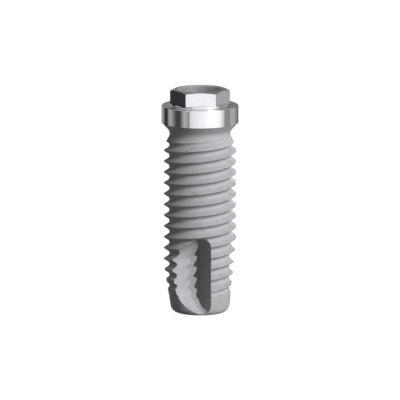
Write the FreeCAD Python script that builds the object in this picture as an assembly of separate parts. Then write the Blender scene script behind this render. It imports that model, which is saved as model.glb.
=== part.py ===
import FreeCAD, Part
import math
import os

# A dental implant: one piece of titanium, turned, threaded and milled. Sizes are in
# millimetres and angles in degrees. The axis is Z, the apex stands on z = 0, and the
# external hexagon is at the top. The front is -Y, and angles are counted from the
# front towards +X.

# Overall lengths, from the apex up to the platform that the crown's abutment sits on
body_length = 10.91
collar_height = 0.91
hexagon_height = 0.83

# Collar and platform
collar_radius = 2.0
collar_edge_round = 0.05
collar_underside_angle = 43.0

# Waisted neck between the collar and the thread, where the thread's grooves run out
neck_relief = 0.008
neck_round = 0.4
thread_lead_in_angle = 29.0

# Two-start outside thread, right-handed
thread_radius = 1.878
thread_depth = 0.283
thread_starts = 2
thread_spacing = 0.57
thread_crest_width = 0.05
thread_root_width = 0.16
thread_height_at_left = 8.795

# Tapered end and its rounded apex
taper_height = 2.515
taper_angle = 9.0
apex_round = 0.41

# External hexagon, milled on a round boss that keeps a low ledge round its foot
hexagon_across_flats = 2.7
hexagon_turn = 1.7
ledge_height = 0.11
ledge_foot_round = 0.07
hexagon_top_rim = 0.03
hexagon_top_angle = 18.0

# Screw hole: mouth, smooth bore, seat cone, threaded bore and drilled end
hole_mouth_chamfer = 0.05
smooth_bore_radius = 1.12
smooth_bore_depth = 1.9
seat_cone_angle = 45.0
screw_drill_radius = 0.8
screw_hole_depth = 5.6
drill_point_angle = 59.0

# Three cutting flutes at the apical end
flute_count = 3
flute_face_offset = 0.571
flute_face_depth = 0.212
flute_floor_angle = 25.9
flute_corner_round = 0.465
flute_end_radius = 1.75
flute_low_centre = 1.442
flute_high_centre = 2.7

# Room that a cutter is given past the surface it breaks through
cutter_overrun = 0.03

# What follows from the sizes above
thread_lead = thread_starts * thread_spacing
thread_root_radius = thread_radius - thread_depth
neck_radius = thread_root_radius - neck_relief
collar_bottom = body_length - collar_height
hexagon_corner_radius = hexagon_across_flats / 2 / math.cos(math.radians(30))
hexagon_top_radius = hexagon_across_flats / 2 - hexagon_top_rim
hexagon_top = body_length + hexagon_height
axis_z = FreeCAD.Vector(0, 0, 1)
origin = FreeCAD.Vector(0, 0, 0)


def tan(angle):
    return math.tan(math.radians(angle))


def sin(angle):
    return math.sin(math.radians(angle))


def cos(angle):
    return math.cos(math.radians(angle))


def at(radius, height):
    """A point of an axial section: radius along X and height along Z."""
    return FreeCAD.Vector(radius, 0, height)


def line(start, end):
    return Part.LineSegment(start, end).toShape()


def arc(start, middle, end):
    return Part.Arc(start, middle, end).toShape()


def around(centre, radius, angle):
    """The point of an axial section's arc at an angle up from the outward direction."""
    return at(centre.x + radius * cos(angle), centre.z + radius * sin(angle))


def turned(edges):
    """The solid that a closed axial section makes when it is turned about Z."""
    face = Part.Face(Part.Wire(edges))
    return face.revolve(origin, axis_z, 360)


def apex_edges():
    """Flat end, its rounding, and the taper up to the full thread."""
    # The rounding's centre is as far from the taper's line as from the flat end.
    rise = (taper_height - apex_round * (1 - sin(taper_angle))) / cos(taper_angle)
    centre_radius = thread_radius - rise * sin(taper_angle) - apex_round * cos(taper_angle)
    centre = at(centre_radius, apex_round)
    flat_end = at(centre_radius, 0)
    middle = around(centre, apex_round, (-90 - taper_angle) / 2)
    taper_start = around(centre, apex_round, -taper_angle)
    taper_end = at(thread_radius, taper_height)
    return [
        line(at(0, 0), flat_end),
        arc(flat_end, middle, taper_start),
        line(taper_start, taper_end),
    ]


def neck_centre_height():
    """Height of the neck's narrowest place, which the collar's underside runs into."""
    underside_foot = collar_bottom - (collar_radius - neck_radius) / tan(collar_underside_angle)
    return underside_foot - neck_round * tan(collar_underside_angle / 2)


def neck_edges():
    """Full thread, lead-in cone, round neck, and the collar's sloping underside."""
    centre_height = neck_centre_height()
    lead_in_top = centre_height - neck_round * tan(thread_lead_in_angle / 2)
    lead_in_bottom = lead_in_top - (thread_radius - neck_radius) / tan(thread_lead_in_angle)
    centre = at(neck_radius + neck_round, centre_height)
    neck_low = around(centre, neck_round, 180 + thread_lead_in_angle)
    neck_middle = around(centre, neck_round, 180)
    neck_high = around(centre, neck_round, 180 - collar_underside_angle)
    return [
        line(at(thread_radius, taper_height), at(thread_radius, lead_in_bottom)),
        line(at(thread_radius, lead_in_bottom), neck_low),
        arc(neck_low, neck_middle, neck_high),
        line(neck_high, at(collar_radius, collar_bottom)),
    ]


def collar_edges():
    """Collar side, its rounded edge, the flat platform, and the fillet of the ledge."""
    edge_centre = at(collar_radius - collar_edge_round, body_length - collar_edge_round)
    side_top = around(edge_centre, collar_edge_round, 0)
    edge_middle = around(edge_centre, collar_edge_round, 45)
    platform_outside = around(edge_centre, collar_edge_round, 90)
    foot_centre = at(hexagon_corner_radius + ledge_foot_round, body_length + ledge_foot_round)
    platform_inside = around(foot_centre, ledge_foot_round, 270)
    foot_middle = around(foot_centre, ledge_foot_round, 225)
    ledge_side = around(foot_centre, ledge_foot_round, 180)
    return [
        line(at(collar_radius, collar_bottom), side_top),
        arc(side_top, edge_middle, platform_outside),
        line(platform_outside, platform_inside),
        arc(platform_inside, foot_middle, ledge_side),
    ]


def boss_edges():
    """Round boss of the hexagon, with the cone that chamfers its corners."""
    ledge_side = at(hexagon_corner_radius, body_length + ledge_foot_round)
    chamfer_drop = (hexagon_corner_radius - hexagon_top_radius) * tan(hexagon_top_angle)
    chamfer_foot = at(hexagon_corner_radius, hexagon_top - chamfer_drop)
    chamfer_top = at(hexagon_top_radius, hexagon_top)
    return [
        line(ledge_side, chamfer_foot),
        line(chamfer_foot, chamfer_top),
        line(chamfer_top, at(0, hexagon_top)),
        line(at(0, hexagon_top), at(0, 0)),
    ]


def turned_blank():
    """The whole outside as it leaves the lathe, before threads, flats and flutes."""
    return turned(apex_edges() + neck_edges() + collar_edges() + boss_edges())


def hexagon_flats_cutter():
    """A ring with a hexagonal hole, which mills the flats down to the ledge."""
    foot = body_length + ledge_height
    height = hexagon_top - foot + cutter_overrun
    # Corners lie half a sixth of a turn from the middles of the flats.
    corners = []
    for number in range(7):
        angle = hexagon_turn + 30 + 60 * number
        x = hexagon_corner_radius * sin(angle)
        y = -hexagon_corner_radius * cos(angle)
        corners.append(FreeCAD.Vector(x, y, foot))
    hexagon = Part.Face(Part.makePolygon(corners)).extrude(axis_z * height)
    ring = Part.makeCylinder(collar_radius, height, FreeCAD.Vector(0, 0, foot))
    return ring.cut(hexagon)


def screw_hole():
    """The hole for the abutment screw, open at the hexagon's top."""
    mouth = hexagon_top + cutter_overrun
    mouth_radius = smooth_bore_radius + hole_mouth_chamfer + cutter_overrun
    smooth_end = hexagon_top - smooth_bore_depth
    seat_end = smooth_end - (smooth_bore_radius - screw_drill_radius) * tan(seat_cone_angle)
    drill_end = hexagon_top - screw_hole_depth
    drill_tip = drill_end - screw_drill_radius / tan(drill_point_angle)
    corners = [
        at(0, mouth),
        at(mouth_radius, mouth),
        at(smooth_bore_radius, hexagon_top - hole_mouth_chamfer),
        at(smooth_bore_radius, smooth_end),
        at(screw_drill_radius, seat_end),
        at(screw_drill_radius, drill_end),
        at(0, drill_tip),
        at(0, mouth),
    ]
    return turned(Part.makePolygon(corners).Edges)


def groove_piece(turns):
    """Part of a helical groove, its lower end at angle and height zero."""
    outside = thread_radius + cutter_overrun
    flank_width = (thread_spacing - thread_crest_width - thread_root_width) / 2
    flank_slope = flank_width / thread_depth
    root_half = thread_root_width / 2
    mouth_half = root_half + (outside - thread_root_radius) * flank_slope
    corners = [
        at(thread_root_radius, -root_half),
        at(outside, -mouth_half),
        at(outside, mouth_half),
        at(thread_root_radius, root_half),
        at(thread_root_radius, -root_half),
    ]
    section = Part.makePolygon(corners)
    path = Part.makeHelix(thread_lead, thread_lead * turns, thread_root_radius)
    return Part.Wire(path.Edges).makePipeShell([section], True, True)


def cut_thread(body):
    """Cuts each start's groove in equal pieces of no more than half a turn."""
    # A groove begins where the taper is narrower than its root, and ends in the neck.
    low = taper_height - thread_depth / tan(taper_angle) - thread_spacing
    turns = (neck_centre_height() - low) / thread_lead
    piece_count = math.ceil(2 * turns)
    piece_turns = turns / piece_count
    # The left side is half a turn from where a piece begins.
    low_angle = 180 + 360 * (low - thread_height_at_left) / thread_lead
    piece = groove_piece(piece_turns)
    for start_number in range(thread_starts):
        for piece_number in range(piece_count):
            turned_by = start_number / thread_starts + piece_number * piece_turns
            cutter = piece.copy()
            cutter.rotate(origin, axis_z, low_angle + 360 * turned_by)
            rise = low + piece_number * piece_turns * thread_lead
            cutter.translate(FreeCAD.Vector(0, 0, rise))
            body = body.cut(cutter)
    return body


def flute_section(reach):
    """Section of the front flute in the plane of X and Y, out to a reach from its corner.

    The cutting face is x = flute_face_offset, and the floor slopes out to the left.
    """
    corner = FreeCAD.Vector(flute_face_offset, -flute_face_depth, 0)
    along_floor = FreeCAD.Vector(-cos(flute_floor_angle), -sin(flute_floor_angle), 0)
    half_corner = (90 - flute_floor_angle) / 2
    tangent = flute_corner_round / tan(half_corner)
    on_face = corner + FreeCAD.Vector(0, -tangent, 0)
    on_floor = corner + along_floor * tangent
    round_centre = on_face + FreeCAD.Vector(-flute_corner_round, 0, 0)
    to_corner = (corner - round_centre).normalize()
    round_middle = round_centre + to_corner * flute_corner_round
    face_end = corner + FreeCAD.Vector(0, -reach, 0)
    floor_end = corner + along_floor * (reach / sin(flute_floor_angle))
    edges = [
        line(face_end, on_face),
        arc(on_face, round_middle, on_floor),
        line(on_floor, floor_end),
        line(floor_end, face_end),
    ]
    return Part.Face(Part.Wire(edges))


def flute_cutters():
    """The front flute's cut: a straight run, and ends that swing about a line along X."""
    swing_point = FreeCAD.Vector(0, -flute_face_depth - flute_end_radius, 0)
    swing_axis = FreeCAD.Vector(1, 0, 0)
    low_end = flute_section(flute_end_radius).revolve(swing_point, swing_axis, 360)
    high_end = low_end.copy()
    low_end.translate(axis_z * flute_low_centre)
    high_end.translate(axis_z * flute_high_centre)
    # The straight run's section is deep enough to pass the outside of the thread.
    section = flute_section(2 * flute_end_radius)
    section.translate(axis_z * flute_low_centre)
    straight = section.extrude(axis_z * (flute_high_centre - flute_low_centre))
    return [low_end, high_end, straight]


def cut_flutes(body):
    for number in range(flute_count):
        for cutter in flute_cutters():
            cutter.rotate(origin, axis_z, 360 * number / flute_count)
            body = body.cut(cutter)
    return body


def implant_body():
    body = turned_blank()
    body = body.cut(hexagon_flats_cutter())
    body = body.cut(screw_hole())
    body = cut_thread(body)
    body = cut_flutes(body)
    return body.removeSplitter()


def main():
    os.makedirs("parts", exist_ok=True)
    body = implant_body()
    print("solids", len(body.Solids), "valid", body.isValid(), "volume", round(body.Volume, 4))
    body.Solids[0].exportStep("parts/implant_body.step")


main()
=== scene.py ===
import math

import bpy
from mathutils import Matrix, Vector


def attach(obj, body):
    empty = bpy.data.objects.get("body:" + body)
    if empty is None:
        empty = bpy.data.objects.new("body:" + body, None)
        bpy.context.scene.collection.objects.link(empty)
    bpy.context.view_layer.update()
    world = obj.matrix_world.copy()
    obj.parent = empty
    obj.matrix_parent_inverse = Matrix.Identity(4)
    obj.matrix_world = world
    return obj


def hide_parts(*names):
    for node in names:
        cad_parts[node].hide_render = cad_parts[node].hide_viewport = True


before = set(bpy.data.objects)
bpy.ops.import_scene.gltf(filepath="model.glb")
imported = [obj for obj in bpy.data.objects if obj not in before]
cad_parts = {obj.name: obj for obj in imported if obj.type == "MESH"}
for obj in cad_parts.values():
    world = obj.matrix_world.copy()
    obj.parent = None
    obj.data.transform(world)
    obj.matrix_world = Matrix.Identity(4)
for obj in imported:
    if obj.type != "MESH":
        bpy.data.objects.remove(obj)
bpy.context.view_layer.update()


def tan(angle):
    return math.tan(math.radians(angle))


def sin(angle):
    return math.sin(math.radians(angle))


def cos(angle):
    return math.cos(math.radians(angle))


# Sizes of the implant are in millimetres, and MM turns them into metres. Angles are in
# degrees. The axis is Z, the apex stands on the floor, and the front is -Y.
MM = 0.001

body_length = 10.91
collar_height = 0.91
hexagon_height = 0.83
collar_radius = 2.0
collar_edge_round = 0.05
collar_underside_angle = 43.0
neck_relief = 0.008
neck_round = 0.4
thread_lead_in_angle = 29.0
thread_radius = 1.878
thread_depth = 0.283
thread_starts = 2
thread_spacing = 0.57
thread_crest_width = 0.05
thread_root_width = 0.16
thread_height_at_left = 8.795
taper_height = 2.515
taper_angle = 9.0
apex_round = 0.41
hexagon_sides = 6
hexagon_across_flats = 2.7
hexagon_turn = 1.7
ledge_height = 0.11
ledge_foot_round = 0.07
hexagon_top_rim = 0.03
hexagon_top_angle = 18.0
hole_mouth_chamfer = 0.05
smooth_bore_radius = 1.12
smooth_bore_depth = 1.9
seat_cone_angle = 45.0
screw_drill_radius = 0.8
screw_hole_depth = 5.6
drill_point_angle = 59.0
screw_thread_pitch = 0.4
screw_thread_depth = 0.2
screw_thread_root_width = 0.05
screw_thread_crest_width = 0.1
screw_thread_clear = 0.5
flute_count = 3
flute_face_offset = 0.571
flute_face_depth = 0.212
flute_floor_angle = 25.9
flute_corner_round = 0.465
flute_end_radius = 1.75
flute_low_centre = 1.442
flute_high_centre = 2.7
cutter_overrun = 0.03

thread_lead = thread_starts * thread_spacing
thread_root_radius = thread_radius - thread_depth
neck_radius = thread_root_radius - neck_relief
hexagon_corner_radius = hexagon_across_flats / 2 / cos(180 / hexagon_sides)
hexagon_top_radius = hexagon_across_flats / 2 - hexagon_top_rim
hexagon_top = body_length + hexagon_height
collar_bottom = body_length - collar_height

# How finely the round shapes are divided
steps_round = 240
milling_steps = 48
groove_steps = 120
screw_groove_steps = 60
arc_steps = 8
apex_steps = 14
neck_steps = 14
flute_corner_steps = 12
root_steps = 6

# Points closer than this, in millimetres, become one, and steeper edges stay sharp
merge_distance = 0.00002
sharp_angle = 24.0


def arc_points(centre, radius, start, end, steps=arc_steps):
    """Points of an arc in a section, from a start angle to an end angle."""
    points = []
    for number in range(steps + 1):
        angle = start + (end - start) * number / steps
        points.append((centre[0] + radius * cos(angle), centre[1] + radius * sin(angle)))
    return points


def neck_centre_height():
    """Height at which the neck is thinnest, the centre of its rounding."""
    underside_foot = collar_bottom - (collar_radius - neck_radius) / tan(collar_underside_angle)
    return underside_foot - neck_round * tan(collar_underside_angle / 2)


def blank_section():
    """Outside of the turned blank as (radius, height), from the apex up to the top."""
    rise = (taper_height - apex_round * (1 - sin(taper_angle))) / cos(taper_angle)
    apex_radius = thread_radius - rise * sin(taper_angle) - apex_round * cos(taper_angle)
    neck_height = neck_centre_height()
    lead_in_top = neck_height - neck_round * tan(thread_lead_in_angle / 2)
    lead_in_bottom = lead_in_top - (thread_radius - neck_radius) / tan(thread_lead_in_angle)
    neck_centre = (neck_radius + neck_round, neck_height)
    edge_centre = (collar_radius - collar_edge_round, body_length - collar_edge_round)
    foot_centre = (hexagon_corner_radius + ledge_foot_round, body_length + ledge_foot_round)
    chamfer_drop = (hexagon_corner_radius - hexagon_top_radius) * tan(hexagon_top_angle)
    points = [(0, 0)]
    points += arc_points((apex_radius, apex_round), apex_round, -90, -taper_angle, apex_steps)
    points += [(thread_radius, taper_height), (thread_radius, lead_in_bottom)]
    neck_start, neck_end = 180 + thread_lead_in_angle, 180 - collar_underside_angle
    points += arc_points(neck_centre, neck_round, neck_start, neck_end, neck_steps)
    points += [(collar_radius, collar_bottom)]
    points += arc_points(edge_centre, collar_edge_round, 0, 90)
    points += arc_points(foot_centre, ledge_foot_round, 270, 180)
    points += [(hexagon_corner_radius, hexagon_top - chamfer_drop)]
    points += [(hexagon_top_radius, hexagon_top), (0, hexagon_top)]
    return points


def hole_section():
    """Screw hole as (radius, height), from its drilled point up to past its mouth."""
    smooth_end = hexagon_top - smooth_bore_depth
    seat_end = smooth_end - (smooth_bore_radius - screw_drill_radius) * tan(seat_cone_angle)
    drill_end = hexagon_top - screw_hole_depth
    drill_tip = drill_end - screw_drill_radius / tan(drill_point_angle)
    mouth_radius = smooth_bore_radius + hole_mouth_chamfer + cutter_overrun
    return [
        (0, drill_tip),
        (screw_drill_radius, drill_end),
        (screw_drill_radius, seat_end),
        (smooth_bore_radius, smooth_end),
        (smooth_bore_radius, hexagon_top - hole_mouth_chamfer),
        (mouth_radius, hexagon_top + cutter_overrun),
        (0, hexagon_top + cutter_overrun),
    ]


def hexagon_section():
    """Half of the hexagonal prism's section, which its six corners turn."""
    foot = body_length
    top = hexagon_top + hexagon_height
    return [(0, foot), (hexagon_corner_radius, foot), (hexagon_corner_radius, top), (0, top)]


def milling_section():
    """Half of the round bar that the hexagon's flats are milled from."""
    foot = body_length + ledge_height
    top = hexagon_top + cutter_overrun
    return [(0, foot), (collar_radius, foot), (collar_radius, top), (0, top)]


def flute_section():
    """The flute cutter's section as (distance from its swing line, place along X)."""
    half_corner = (90 - flute_floor_angle) / 2
    tangent = flute_corner_round / tan(half_corner)
    centre = (flute_end_radius - tangent, flute_face_offset - flute_corner_round)
    far_end = -collar_radius
    far_radius = flute_end_radius - (flute_face_offset - far_end) * tan(flute_floor_angle)
    points = [(0, far_end), (far_radius, far_end)]
    points += arc_points(centre, flute_corner_round, -flute_floor_angle, 90, flute_corner_steps)
    points += [(0, flute_face_offset)]
    return points


def groove_section(root_width, crest_width, spacing, depth):
    """Closed section of a thread groove that opens outwards, with its round root at 0."""
    slope = (spacing - crest_width - root_width) / 2 / depth
    flank_angle = math.degrees(math.atan(slope))
    root_round = root_width / 2 / slope / (1 / sin(flank_angle) - 1)
    reach = depth + cutter_overrun
    mouth_half = root_width / 2 + reach * slope
    root_start, root_end = 90 + flank_angle, 270 - flank_angle
    points = arc_points((root_round, 0), root_round, root_start, root_end, root_steps)
    return points + [(reach, -mouth_half), (reach, mouth_half)]


def screw_groove_section():
    """The same for the thread in the screw hole, which opens towards the axis."""
    corners = groove_section(
        screw_thread_root_width,
        screw_thread_crest_width,
        screw_thread_pitch,
        screw_thread_depth,
    )
    return [(-radius, height) for radius, height in reversed(corners)]


def section_object(name, points, closed=False):
    """A section as a curve of straight runs: radius along X, height down along Y."""
    curve = bpy.data.curves.new(name, "CURVE")
    curve.dimensions = "3D"
    spline = curve.splines.new("POLY")
    spline.points.add(len(points) - 1)
    for point, (radius, height) in zip(spline.points, points):
        point.co = (radius, -height, 0, 1)
    spline.use_cyclic_u = closed
    section = bpy.data.objects.new(name, curve)
    bpy.context.scene.collection.objects.link(section)
    return section


def node_in(tree, kind, inputs=None, output=0, **settings):
    """Adds a node, sets or links its inputs, and returns one of its outputs."""
    node = tree.nodes.new(kind)
    for name, value in settings.items():
        setattr(node, name, value)
    for name, value in (inputs or {}).items():
        if isinstance(value, bpy.types.NodeSocket):
            tree.links.new(value, node.inputs[name])
        else:
            node.inputs[name].default_value = value
    return node.outputs[output]


def new_tree(name, sockets):
    """An empty tree with named inputs and one geometry output."""
    tree = bpy.data.node_groups.new(name, "GeometryNodeTree")
    for socket_name, kind in sockets:
        tree.interface.new_socket(name=socket_name, in_out="INPUT", socket_type=kind)
    tree.interface.new_socket(name="Geometry", in_out="OUTPUT", socket_type="NodeSocketGeometry")
    start = tree.nodes.new("NodeGroupInput")
    return tree, start.outputs


def finish_tree(tree, geometry):
    """Links the tree's result to its output, and returns the tree."""
    end = tree.nodes.new("NodeGroupOutput")
    tree.links.new(geometry, end.inputs[0])
    return tree


def turned_tree():
    """Turns a section round the Z axis.

    The path is a circle of radius 1, so the section moves in by 1 to have its 0 on the axis.
    """
    tree, given = new_tree("Turned", [
        ("Section", "NodeSocketGeometry"),
        ("Steps", "NodeSocketInt"),
    ])
    circle = node_in(tree, "GeometryNodeCurvePrimitiveCircle", {
        "Resolution": given["Steps"], "Radius": 1.0,
    })
    upright = node_in(tree, "GeometryNodeSetCurveNormal", {"Curve": circle}, mode="Z_UP")
    section = node_in(tree, "GeometryNodeTransform", {
        "Geometry": given["Section"], "Translation": (-1, 0, 0),
    })
    surface = node_in(tree, "GeometryNodeCurveToMesh", {
        "Curve": upright, "Profile Curve": section,
    })
    closed = node_in(tree, "GeometryNodeMergeByDistance", {
        "Geometry": surface, "Distance": merge_distance,
    })
    return finish_tree(tree, node_in(tree, "GeometryNodeFlipFaces", {"Mesh": closed}))


def helix_tree():
    """Sweeps a closed section along a right-handed helix round the Z axis."""
    tree, given = new_tree("Helical sweep", [
        ("Section", "NodeSocketGeometry"),
        ("Radius", "NodeSocketFloat"),
        ("Lead", "NodeSocketFloat"),
        ("Turns", "NodeSocketFloat"),
        ("Steps", "NodeSocketInt"),
    ])

    def maths(operation, first, second):
        return node_in(tree, "ShaderNodeMath", {0: first, 1: second}, operation=operation)

    step_count = maths("MULTIPLY", given["Turns"], given["Steps"])
    point_count = maths("ADD", step_count, 1.0)
    points = node_in(tree, "GeometryNodeMeshLine", {"Count": point_count})
    index = node_in(tree, "GeometryNodeInputIndex")
    turn = maths("DIVIDE", index, given["Steps"])
    angle = maths("MULTIPLY", turn, math.tau)
    across = maths("MULTIPLY", maths("COSINE", angle, 0.0), given["Radius"])
    along = maths("MULTIPLY", maths("SINE", angle, 0.0), given["Radius"])
    height = maths("MULTIPLY", turn, given["Lead"])
    position = node_in(tree, "ShaderNodeCombineXYZ", {"X": across, "Y": along, "Z": height})
    wound = node_in(tree, "GeometryNodeSetPosition", {"Geometry": points, "Position": position})
    path = node_in(tree, "GeometryNodeMeshToCurve", {"Mesh": wound})
    upright = node_in(tree, "GeometryNodeSetCurveNormal", {"Curve": path}, mode="Z_UP")
    sweep = node_in(tree, "GeometryNodeCurveToMesh", {
        "Curve": upright, "Profile Curve": given["Section"], "Fill Caps": True,
    })
    return finish_tree(tree, node_in(tree, "GeometryNodeFlipFaces", {"Mesh": sweep}))


def round_copies(tree, geometry, count):
    """Copies evenly spaced round the Z axis."""
    points = node_in(tree, "GeometryNodePoints", {"Count": count})
    index = node_in(tree, "GeometryNodeInputIndex")
    part = node_in(tree, "ShaderNodeMath", {0: index, 1: count}, operation="DIVIDE")
    angle = node_in(tree, "ShaderNodeMath", {0: part, 1: math.tau}, operation="MULTIPLY")
    rotation = node_in(tree, "ShaderNodeCombineXYZ", {"Z": angle})
    copies = node_in(tree, "GeometryNodeInstanceOnPoints", {
        "Points": points, "Instance": geometry, "Rotation": rotation,
    })
    return node_in(tree, "GeometryNodeRealizeInstances", {"Geometry": copies})


def implant_tree(blasted, polished, drilled):
    """Turns the blank, then cuts the hexagon, the hole, the threads and the flutes.

    Each cutter carries the finish that it leaves on the metal. The turned metal from the
    collar upwards is polished last.
    """
    tree, given = new_tree("Machined implant", [
        ("Blank section", "NodeSocketGeometry"),
        ("Hole section", "NodeSocketObject"),
        ("Hexagon section", "NodeSocketObject"),
        ("Milling section", "NodeSocketObject"),
        ("Groove section", "NodeSocketObject"),
        ("Screw groove section", "NodeSocketObject"),
        ("Flute section", "NodeSocketObject"),
        ("Steps round", "NodeSocketInt"),
        ("Thread starts", "NodeSocketInt"),
        ("Thread lead", "NodeSocketFloat"),
        ("Groove low", "NodeSocketFloat"),
        ("Groove low angle", "NodeSocketFloat"),
        ("Groove turns", "NodeSocketFloat"),
        ("Screw pitch", "NodeSocketFloat"),
        ("Screw groove low", "NodeSocketFloat"),
        ("Screw groove turns", "NodeSocketFloat"),
        ("Flute count", "NodeSocketInt"),
        ("Flute swing depth", "NodeSocketFloat"),
        ("Flute low centre", "NodeSocketFloat"),
        ("Flute travel", "NodeSocketFloat"),
    ])
    turned = turned_tree()
    helix = helix_tree()

    def shape(name):
        return node_in(tree, "GeometryNodeObjectInfo", {"Object": given[name]}, output="Geometry")

    def turn(section, steps):
        values = {"Section": section, "Steps": steps}
        return node_in(tree, "GeometryNodeGroup", values, node_tree=turned)

    def wind(section, radius, lead, turns, steps):
        values = {
            "Section": section, "Radius": radius, "Lead": lead, "Turns": turns, "Steps": steps,
        }
        return node_in(tree, "GeometryNodeGroup", values, node_tree=helix)

    def move(geometry, translation=(0, 0, 0), rotation=(0, 0, 0), scale=(1, 1, 1)):
        return node_in(tree, "GeometryNodeTransform", {
            "Geometry": geometry, "Translation": translation, "Rotation": rotation, "Scale": scale,
        })

    def along_z(value):
        return node_in(tree, "ShaderNodeCombineXYZ", {"Z": value})

    def finished(geometry, material, where=True):
        return node_in(tree, "GeometryNodeSetMaterial", {
            "Geometry": geometry, "Selection": where, "Material": material,
        })

    def cut(body, cutter, finish, overlapping=False):
        values = {
            "Mesh 1": body, "Mesh 2": finished(cutter, finish), "Self Intersection": overlapping,
        }
        return node_in(
            tree, "GeometryNodeMeshBoolean", values, operation="DIFFERENCE", solver="EXACT")

    position = node_in(tree, "GeometryNodeInputPosition")
    height = node_in(tree, "ShaderNodeSeparateXYZ", {0: position}, output="Z")

    def higher_than(level):
        values = {"A": height, "B": level}
        return node_in(tree, "FunctionNodeCompare", values, operation="GREATER_THAN")

    blank = finished(turn(given["Blank section"], given["Steps round"]), blasted)

    prism = turn(shape("Hexagon section"), hexagon_sides)
    prism = move(prism, rotation=(0, 0, math.radians(hexagon_turn)))
    around_hexagon = cut(turn(shape("Milling section"), milling_steps), prism, polished)
    body = cut(blank, around_hexagon, polished)
    body = cut(body, turn(shape("Hole section"), given["Steps round"]), drilled)

    groove = wind(shape("Groove section"), thread_root_radius, given["Thread lead"],
                  given["Groove turns"], groove_steps)
    grooves = round_copies(tree, groove, given["Thread starts"])
    grooves = move(grooves, along_z(given["Groove low"]), along_z(given["Groove low angle"]))
    body = cut(body, grooves, blasted)

    cutter = move(turn(shape("Flute section"), given["Steps round"]), rotation=(0, math.pi / 2, 0))
    cutter = node_in(tree, "GeometryNodeSetPosition", {
        "Geometry": cutter, "Selection": higher_than(0.0), "Offset": along_z(given["Flute travel"]),
    })
    swing = node_in(tree, "ShaderNodeCombineXYZ", {
        "Y": given["Flute swing depth"], "Z": given["Flute low centre"],
    })
    flutes = round_copies(tree, move(cutter, swing), given["Flute count"])
    body = cut(body, flutes, blasted, overlapping=True)

    screw_groove = wind(shape("Screw groove section"), screw_drill_radius + screw_thread_depth,
                        given["Screw pitch"], given["Screw groove turns"], screw_groove_steps)
    body = cut(body, move(screw_groove, along_z(given["Screw groove low"])), drilled)

    body = node_in(tree, "GeometryNodeMergeByDistance", {
        "Geometry": body, "Distance": merge_distance,
    })
    body = move(body, scale=(MM, MM, MM))
    body = node_in(tree, "GeometryNodeRealizeInstances", {"Geometry": body})
    turned_metal = node_in(tree, "GeometryNodeMaterialSelection", {"Material": blasted})
    bright = node_in(tree, "FunctionNodeBooleanMath", {
        0: turned_metal, 1: higher_than(collar_bottom * MM),
    }, operation="AND")
    return finish_tree(tree, finished(body, polished, bright))


def set_inputs(modifier, tree, values):
    """Sets the modifier's inputs by their sockets' identifiers."""
    for item in tree.interface.items_tree:
        if item.in_out == "INPUT" and item.name in values:
            modifier[item.identifier] = values[item.name]


def implant_piece(blasted, polished, drilled):
    """The whole implant as one closed mesh."""
    groove_low = taper_height - thread_depth / tan(taper_angle) - thread_spacing
    groove_turns = (neck_centre_height() - groove_low) / thread_lead
    low_angle = 180 + 360 * (groove_low - thread_height_at_left) / thread_lead
    screw_groove_low = hexagon_top - screw_hole_depth + screw_thread_clear
    screw_groove_top = hexagon_top - smooth_bore_depth - screw_thread_depth
    groove = groove_section(
        thread_root_width, thread_crest_width, thread_spacing, thread_depth)
    screw_groove = screw_groove_section()
    sections = {
        "Hole section": section_object("hole_section", hole_section()),
        "Hexagon section": section_object("hexagon_section", hexagon_section()),
        "Milling section": section_object("milling_section", milling_section()),
        "Groove section": section_object("groove_section", groove, closed=True),
        "Screw groove section": section_object(
            "screw_groove_section", screw_groove, closed=True),
        "Flute section": section_object("flute_section", flute_section()),
    }
    blank = section_object("implant", blank_section())
    tree = implant_tree(blasted, polished, drilled)
    modifier = blank.modifiers.new("machining", "NODES")
    modifier.node_group = tree
    set_inputs(modifier, tree, {
        **sections,
        "Steps round": steps_round,
        "Thread starts": thread_starts,
        "Thread lead": thread_lead,
        "Groove low": groove_low,
        "Groove low angle": math.radians(low_angle),
        "Groove turns": groove_turns,
        "Screw pitch": screw_thread_pitch,
        "Screw groove low": screw_groove_low,
        "Screw groove turns": (screw_groove_top - screw_groove_low) / screw_thread_pitch,
        "Flute count": flute_count,
        "Flute swing depth": -flute_face_depth - flute_end_radius,
        "Flute low centre": flute_low_centre,
        "Flute travel": flute_high_centre - flute_low_centre,
    })
    evaluated = blank.evaluated_get(bpy.context.evaluated_depsgraph_get())
    mesh = bpy.data.meshes.new_from_object(evaluated)
    mesh.shade_smooth()
    mesh.set_sharp_from_angle(angle=math.radians(sharp_angle))
    for scratch in [blank] + list(sections.values()):
        bpy.data.objects.remove(scratch)
    piece = bpy.data.objects.new("implant", mesh)
    bpy.context.scene.collection.objects.link(piece)
    return piece


# Colours and roughness of the three finishes, each from one limit to the other
blasted_dark = (0.41, 0.415, 0.43, 1)
blasted_light = (0.52, 0.525, 0.54, 1)
blasted_roughness = (0.5, 0.72)
blasted_contrast = (-0.4, 1.4)
blasted_ring_share = 0.3
blasted_specular = 0.05
polished_dark = (0.61, 0.62, 0.64, 1)
polished_light = (0.68, 0.69, 0.71, 1)
polished_roughness = (0.05, 0.13)
drilled_dark = (0.4, 0.405, 0.42, 1)
drilled_light = (0.5, 0.505, 0.52, 1)
drilled_roughness = (0.26, 0.36)
drilled_metallic = 0.5

# Heights of the surface marks, in metres
pit_height = 0.000012
ring_height = 0.000004


def new_effect(name, sockets, output):
    """An empty shader group with named number inputs and one number output."""
    tree = bpy.data.node_groups.new(name, "ShaderNodeTree")
    for socket_name in sockets:
        tree.interface.new_socket(name=socket_name, in_out="INPUT", socket_type="NodeSocketFloat")
    tree.interface.new_socket(name=output, in_out="OUTPUT", socket_type="NodeSocketFloat")
    return tree, tree.nodes.new("NodeGroupInput").outputs


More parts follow.
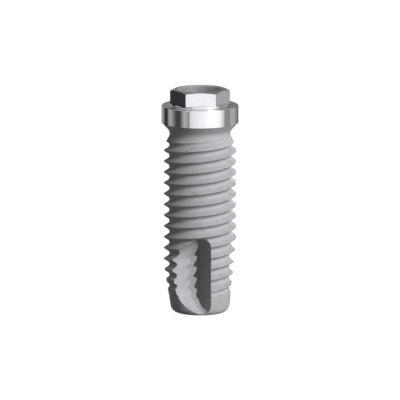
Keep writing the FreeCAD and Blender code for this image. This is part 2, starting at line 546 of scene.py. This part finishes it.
def grain_effect():
    """Fine pits and mounds of a blasted or worn surface, as a height from 0 to 1."""
    tree, given = new_effect("Surface grain", ["Scale", "Detail"], "Height")
    spot = node_in(tree, "ShaderNodeTexCoord", output="Object")
    height = node_in(tree, "ShaderNodeTexNoise", {
        "Vector": spot, "Scale": given["Scale"], "Detail": given["Detail"], "Roughness": 0.6,
    })
    tree.links.new(height, tree.nodes.new("NodeGroupOutput").inputs[0])
    return tree


def turning_effect():
    """Fine rings left by the lathe, as a height that changes along the axis."""
    tree, given = new_effect("Turning marks", ["Rings", "Waver"], "Height")
    spot = node_in(tree, "ShaderNodeTexCoord", output="Object")
    stretch = node_in(tree, "ShaderNodeCombineXYZ", {
        "X": given["Waver"], "Y": given["Waver"], "Z": given["Rings"],
    })
    stretched = node_in(tree, "ShaderNodeVectorMath", {0: spot, 1: stretch}, operation="MULTIPLY")
    height = node_in(tree, "ShaderNodeTexNoise", {"Vector": stretched, "Scale": 1.0, "Detail": 3.0})
    tree.links.new(height, tree.nodes.new("NodeGroupOutput").inputs[0])
    return tree


def effect(tree, group, values):
    return node_in(tree, "ShaderNodeGroup", values, node_tree=group)


def spread(tree, value, limits):
    """A value from 0 to 1 spread between two limits."""
    low, high = limits
    return node_in(tree, "ShaderNodeMapRange", {"Value": value, "To Min": low, "To Max": high})


def tint(tree, value, dark, light):
    """A colour between two, by a value from 0 to 1."""
    values = {"Factor": value, "A": dark, "B": light}
    return node_in(tree, "ShaderNodeMix", values, output=2, data_type="RGBA")


def bumped(tree, height, strength, distance):
    """A normal that follows a height."""
    values = {"Height": height, "Strength": strength, "Distance": distance}
    return node_in(tree, "ShaderNodeBump", values)


def new_material(name):
    material = bpy.data.materials.new(name)
    material.use_nodes = True
    return material, material.node_tree, material.node_tree.nodes["Principled BSDF"]


def wire(tree, shader, **sockets):
    """Links values to the shader's inputs, whose names have spaces for the underscores."""
    for name, source in sockets.items():
        tree.links.new(source, shader.inputs[name.replace("_", " ")])


def blasted_titanium(grain, turning):
    """Matte grey of the grit-blasted and etched body."""
    material, tree, shader = new_material("blasted_titanium")
    pits = effect(tree, grain, {"Scale": 42000.0, "Detail": 3.0})
    cloud = effect(tree, grain, {"Scale": 2600.0, "Detail": 2.0})
    rings = effect(tree, turning, {"Rings": 60000.0, "Waver": 900.0})
    mixed = node_in(tree, "ShaderNodeMix", {"Factor": blasted_ring_share, "A": cloud, "B": rings})
    colour = tint(tree, spread(tree, mixed, blasted_contrast), blasted_dark, blasted_light)
    wire(tree, shader, Base_Color=colour, Roughness=spread(tree, cloud, blasted_roughness),
         Normal=bumped(tree, pits, 0.25, pit_height))
    shader.inputs["Specular IOR Level"].default_value = blasted_specular
    return material


def polished_titanium(grain, turning):
    """Bright turned and polished metal of the collar and the hexagon."""
    material, tree, shader = new_material("polished_titanium")
    rings = effect(tree, turning, {"Rings": 90000.0, "Waver": 250.0})
    haze = effect(tree, grain, {"Scale": 3500.0, "Detail": 3.0})
    colour = tint(tree, haze, polished_dark, polished_light)
    wire(tree, shader, Base_Color=colour, Roughness=spread(tree, haze, polished_roughness),
         Normal=bumped(tree, rings, 0.08, ring_height))
    shader.inputs["Metallic"].default_value = 1.0
    return material


def drilled_titanium(grain, turning):
    """Duller machined metal inside the screw hole."""
    material, tree, shader = new_material("drilled_titanium")
    rings = effect(tree, turning, {"Rings": 120000.0, "Waver": 400.0})
    haze = effect(tree, grain, {"Scale": 5000.0, "Detail": 3.0})
    colour = tint(tree, haze, drilled_dark, drilled_light)
    wire(tree, shader, Base_Color=colour, Roughness=spread(tree, haze, drilled_roughness),
         Normal=bumped(tree, rings, 0.15, ring_height))
    shader.inputs["Metallic"].default_value = drilled_metallic
    return material


def build_object():
    """Makes the implant and ties it to the frame."""
    grain = grain_effect()
    turning = turning_effect()
    piece = implant_piece(
        blasted_titanium(grain, turning),
        polished_titanium(grain, turning),
        drilled_titanium(grain, turning),
    )
    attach(piece, "root")
    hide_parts("implant_body")


# The camera looks down a little from the front, from so far that edges stay nearly parallel.
view_elevation = 10.0
view_lens = 1600.0
view_sensor = 36.0
view_width = 20.78 * MM
view_centre_height = 5.886 * MM
view_clip_near = 0.01
view_clip_far = 20.0


def direction(azimuth, elevation):
    """Unit vector towards an azimuth, counted from the front towards +X, and an elevation."""
    level = cos(elevation)
    return Vector((sin(azimuth) * level, -cos(azimuth) * level, sin(elevation)))


def aim(obj, target):
    """Turns a camera or a lamp towards a place."""
    obj.rotation_euler = (target - obj.location).to_track_quat("-Z", "Y").to_euler()


def add_camera():
    data = bpy.data.cameras.new("camera")
    data.lens = view_lens
    data.sensor_width = view_sensor
    camera = bpy.data.objects.new("camera", data)
    distance = view_width * view_lens / view_sensor
    target = Vector((0, 0, view_centre_height))
    camera.location = target + direction(0, view_elevation) * distance
    aim(camera, target)
    data.clip_start = distance * view_clip_near
    data.clip_end = distance * view_clip_far
    bpy.context.scene.collection.objects.link(camera)
    bpy.context.scene.camera = camera


def seen_directly(tree):
    """1 for the camera's rays and for what metal or glass shows, and 0 for the rest."""
    path = tree.nodes.new("ShaderNodeLightPath")
    mirrored = node_in(tree, "ShaderNodeMath", {
        0: path.outputs["Is Glossy Ray"], 1: path.outputs["Is Transmission Ray"],
    }, operation="ADD")
    return node_in(tree, "ShaderNodeMath", {
        0: mirrored, 1: path.outputs["Is Camera Ray"],
    }, operation="ADD", use_clamp=True)


# The floor and the world are plain and pale where the camera or the metal sees them. What
# they give to the implant as light is set apart, so that it stays in its own shade.
floor_side = 3.0
floor_colour = (0.08, 0.08, 0.08, 1)
floor_roughness = 0.9
floor_glow = 0.965
fill_level = 0.15


def add_floor():
    mesh = bpy.data.meshes.new("floor")
    half = floor_side / 2
    corners = [(-half, -half, 0), (half, -half, 0), (half, half, 0), (-half, half, 0)]
    mesh.from_pydata(corners, [], [(0, 1, 2, 3)])
    floor = bpy.data.objects.new("floor", mesh)
    bpy.context.scene.collection.objects.link(floor)
    material, tree, shader = new_material("floor")
    shader.inputs["Base Color"].default_value = floor_colour
    shader.inputs["Roughness"].default_value = floor_roughness
    shader.inputs["Emission Color"].default_value = (1, 1, 1, 1)
    glow = node_in(tree, "ShaderNodeMath", {
        0: seen_directly(tree), 1: floor_glow,
    }, operation="MULTIPLY")
    tree.links.new(glow, shader.inputs["Emission Strength"])
    mesh.materials.append(material)


def add_world():
    world = bpy.data.worlds.new("studio")
    bpy.context.scene.world = world
    world.use_nodes = True
    tree = world.node_tree
    background = tree.nodes["Background"]
    background.inputs["Color"].default_value = (1, 1, 1, 1)
    level = node_in(tree, "ShaderNodeMapRange", {
        "Value": seen_directly(tree), "To Min": fill_level, "To Max": 1.0,
    })
    tree.links.new(level, background.inputs["Strength"])


# Each lamp has its azimuth and elevation, its strength, and its width, all angles in degrees.
lamp_distance = 0.2
lamps = {
    "key_light": (39, 23, 2.1, 1.5),
    "second_light": (54, 24, 1.0, 2),
    "back_light": (168, 10, 0.9, 10),
}


def add_sun(name, azimuth, elevation, strength, width):
    """A lamp far off. A wider one has softer shadows."""
    data = bpy.data.lights.new(name, "SUN")
    data.energy = strength
    data.angle = math.radians(width)
    lamp = bpy.data.objects.new(name, data)
    lamp.location = direction(azimuth, elevation) * lamp_distance
    aim(lamp, Vector((0, 0, 0)))
    bpy.context.scene.collection.objects.link(lamp)


# Panels stand round the implant for the polished metal to mirror. Each has its two
# azimuths from the front, in degrees, and the brightness at its two sides.
panel_distance = 0.045
panel_height = 0.06
panel_steps = 12
panels = {
    "back_left": (-180, -139, 0.24, 0.46),
    "far_left_fade": (-139, -129, 0.38, 0.07),
    "far_left_black": (-129, -113, 0.042, 0.042),
    "left_strip_edge": (-113, -104, 0.08, 0.46),
    "left_strip": (-104, -90, 0.51, 0.48),
    "left_dim": (-90, -76, 0.36, 0.1),
    "left_black": (-76, -60, 0.08, 0.08),
    "left_rise": (-60, -49, 0.1, 0.5),
    "left_bright": (-49, -36, 0.62, 0.5),
    "left_grey": (-36, -30, 0.34, 0.42),
    "front_panel": (-30, 22, 1.04, 1.48),
    "key_panel": (22, 54, 1.6, 1.6),
    "key_side": (54, 66, 1.4, 1.34),
    "key_end": (66, 76, 0.98, 0.86),
    "right_grey": (76, 100, 0.39, 0.34),
    "right_strip": (100, 124.5, 0.55, 0.55),
    "right_dim": (124.5, 150, 0.48, 0.2),
    "back_right": (150, 180, 0.17, 0.24),
}


def add_panel(name, start, end, first, last):
    """A curved panel that only glossy rays see, brighter towards one side."""
    mesh = bpy.data.meshes.new(name)
    corners = []
    faces = []
    for step in range(panel_steps + 1):
        foot = direction(start + (end - start) * step / panel_steps, 0) * panel_distance
        corners += [foot, foot + Vector((0, 0, panel_height))]
    for step in range(panel_steps):
        faces.append((2 * step, 2 * step + 2, 2 * step + 3, 2 * step + 1))
    mesh.from_pydata(corners, [], faces)
    level = mesh.attributes.new("level", "FLOAT", "POINT")
    for number in range(len(corners)):
        level.data[number].value = first + (last - first) * (number // 2) / panel_steps
    material = bpy.data.materials.new(name)
    material.use_nodes = True
    tree = material.node_tree
    tree.nodes.remove(tree.nodes["Principled BSDF"])
    brightness = node_in(tree, "ShaderNodeAttribute", output="Fac", attribute_name="level")
    glow = node_in(tree, "ShaderNodeEmission", {"Color": (1, 1, 1, 1), "Strength": brightness})
    tree.links.new(glow, tree.nodes["Material Output"].inputs["Surface"])
    mesh.materials.append(material)
    panel = bpy.data.objects.new(name, mesh)
    bpy.context.scene.collection.objects.link(panel)
    panel.visible_camera = False
    panel.visible_diffuse = False
    panel.visible_transmission = False
    panel.visible_shadow = False


build_object()
add_camera()
add_floor()
add_world()
for name, values in lamps.items():
    add_sun(name, *values)
for name, values in panels.items():
    add_panel(name, *values)
bpy.context.scene.view_settings.view_transform = "Standard"
